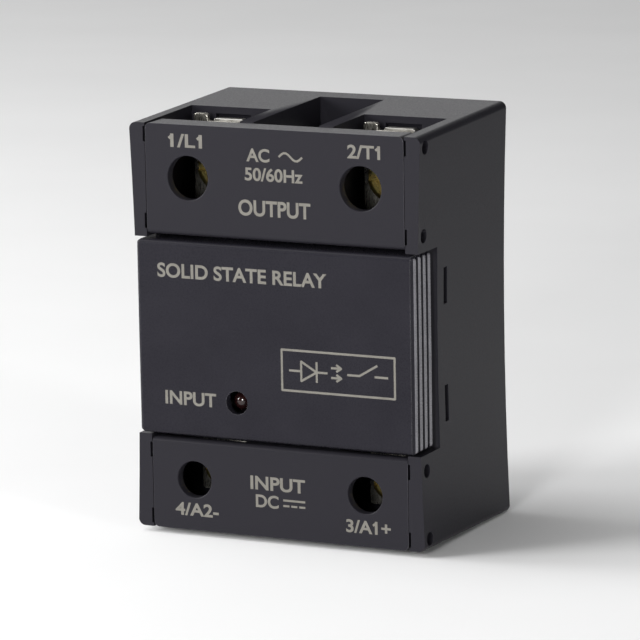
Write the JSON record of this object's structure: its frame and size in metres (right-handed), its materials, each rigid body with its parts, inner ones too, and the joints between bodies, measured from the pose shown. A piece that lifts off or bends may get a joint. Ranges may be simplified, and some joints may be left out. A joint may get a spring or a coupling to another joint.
{
  "type": "solid state relay",
  "caption": "Panel-mount solid state relay: moulded case on a metal heat-sink plate, clip-on front cap, and hinged covers over its screw terminals.",
  "frame": {"origin": "centre of the box's lower face, at the input end, with the relay standing on that end", "axes": "+Z along the relay from the input end to the output end, +Y out of the heat-sink face, +X to the right seen from the front"},
  "size_m": [0.045, 0.031, 0.0602],
  "materials": {
    "case_resin": "satin",
    "cap_resin": "satin",
    "nickel_plate": "satin",
    "heat_sink": "satin",
    "tinned_copper": "satin",
    "yellow_zinc_steel": "gloss",
    "bare_copper": "satin",
    "alumina": "matte",
    "silicon": "gloss",
    "laminate": "satin",
    "black_epoxy": "matte",
    "capacitor_shell": "gloss",
    "resistor_coat": "satin",
    "varistor_coat": "gloss",
    "led_lens": "gloss",
    "potting_resin": "satin"
  },
  "bodies": {
    "housing": {"case": "case_resin", "heat_sink_plate": "heat_sink", "front_cap": "cap_resin", "output_terminal_1": "tinned_copper", "output_nut_1": "nickel_plate", "output_terminal_2": "tinned_copper", "output_nut_2": "nickel_plate", "input_terminal_3": "tinned_copper", "input_nut_3": "nickel_plate", "input_terminal_4": "tinned_copper", "input_nut_4": "nickel_plate", "thyristor_left": "silicon", "link_strap_left": "bare_copper", "gate_pin_left": "tinned_copper", "thyristor_right": "silicon", "link_strap_right": "bare_copper", "gate_pin_right": "tinned_copper", "ceramic_substrate": "alumina", "potting_block": "potting_resin", "optocoupler": "black_epoxy", "snubber_capacitor": "capacitor_shell", "snubber_resistor": "resistor_coat", "varistor": "varistor_coat", "current_limiter": "black_epoxy", "input_resistor": "resistor_coat", "input_diode": "black_epoxy", "status_led": "led_lens", "circuit_board": "laminate"},
    "output_cover": {"output_cover": "case_resin"},
    "input_cover": {"input_cover": "case_resin"},
    "clamp_1": {"output_clamp_1": "nickel_plate"},
    "screw_1": {"output_screw_1": "yellow_zinc_steel"},
    "clamp_2": {"output_clamp_2": "nickel_plate"},
    "screw_2": {"output_screw_2": "yellow_zinc_steel"},
    "clamp_3": {"input_clamp_3": "nickel_plate"},
    "screw_3": {"input_screw_3": "yellow_zinc_steel"},
    "clamp_4": {"input_clamp_4": "nickel_plate"},
    "screw_4": {"input_screw_4": "yellow_zinc_steel"}
  },
  "joints": [
    {"name": "output_cover_hinge", "type": "hinge", "parent": "housing", "child": "output_cover", "pos_m": [0, -0.01295, 0.04535], "axis": [1, 0, 0], "range_deg": [0, 100]},
    {"name": "input_cover_hinge", "type": "hinge", "parent": "housing", "child": "input_cover", "pos_m": [0, -0.01295, 0.01215], "axis": [-1, 0, 0], "range_deg": [0, 100]},
    {"name": "clamp_lift_1", "type": "slide", "parent": "housing", "child": "clamp_1", "axis": [0, -1, 0], "range_m": [0, 0.0042]},
    {"name": "screw_turn_1", "type": "hinge", "parent": "clamp_1", "child": "screw_1", "pos_m": [-0.0134, 0, 0.05175], "axis": [0, -1, 0], "range_deg": [0, 2160]},
    {"name": "clamp_lift_2", "type": "slide", "parent": "housing", "child": "clamp_2", "axis": [0, -1, 0], "range_m": [0, 0.0042]},
    {"name": "screw_turn_2", "type": "hinge", "parent": "clamp_2", "child": "screw_2", "pos_m": [0.0134, 0, 0.05175], "axis": [0, -1, 0], "range_deg": [0, 2160]},
    {"name": "clamp_lift_3", "type": "slide", "parent": "housing", "child": "clamp_3", "axis": [0, -1, 0], "range_m": [0, 0.003]},
    {"name": "screw_turn_3", "type": "hinge", "parent": "clamp_3", "child": "screw_3", "pos_m": [0.0134, 0, 0.00825], "axis": [0, -1, 0], "range_deg": [0, 2160]},
    {"name": "clamp_lift_4", "type": "slide", "parent": "housing", "child": "clamp_4", "axis": [0, -1, 0], "range_m": [0, 0.003]},
    {"name": "screw_turn_4", "type": "hinge", "parent": "clamp_4", "child": "screw_4", "pos_m": [-0.0134, 0, 0.00825], "axis": [0, -1, 0], "range_deg": [0, 2160]}
  ],
  "couplings": [
    {"joint": "screw_turn_1", "follows": "clamp_lift_1", "rad_per_m": 8975.9},
    {"joint": "screw_turn_2", "follows": "clamp_lift_2", "rad_per_m": 8975.9},
    {"joint": "screw_turn_3", "follows": "clamp_lift_3", "rad_per_m": 12566},
    {"joint": "screw_turn_4", "follows": "clamp_lift_4", "rad_per_m": 12566}
  ]
}
